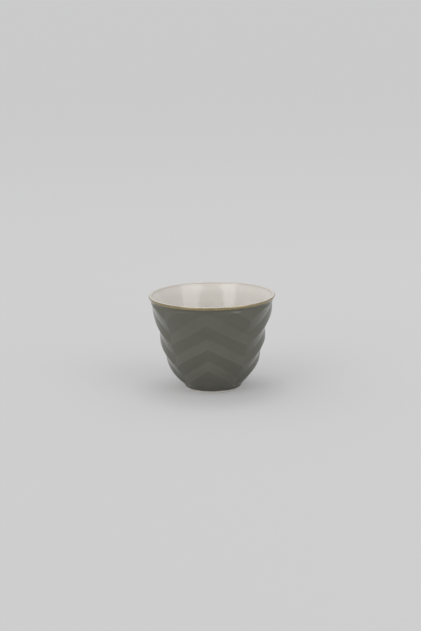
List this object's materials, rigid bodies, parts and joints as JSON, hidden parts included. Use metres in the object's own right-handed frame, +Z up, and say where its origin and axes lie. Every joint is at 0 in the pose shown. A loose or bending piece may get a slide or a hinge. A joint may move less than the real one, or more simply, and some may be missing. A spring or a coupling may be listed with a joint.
{
  "type": "arabic coffee cup",
  "caption": "Small handleless porcelain coffee cup: flared bowl with moulded chevrons, dark satin outside, white inside, gilded lip.",
  "frame": {"origin": "centre of the foot ring's contact face, where the cup stands on the table", "axes": "+Z up along the axis of the cup, -Y the front, where the chevrons point up"},
  "size_m": [0.065, 0.065, 0.049],
  "materials": {
    "bare_clay": "unglazed biscuit porcelain, matt",
    "satin_glaze": "dark olive grey satin glaze",
    "white_glaze": "warm white gloss glaze",
    "clear_glaze": "clear gloss glaze over white clay",
    "gilding": "thin fired gilding, muted gold lustre"
  },
  "bodies": {
    "root": {"porcelain_body": "bare_clay", "chevron_relief": "bare_clay", "outer_glaze": "satin_glaze", "inner_glaze": "white_glaze", "underside_glaze": "clear_glaze", "rim_gilding": "gilding"}
  },
  "joints": []
}
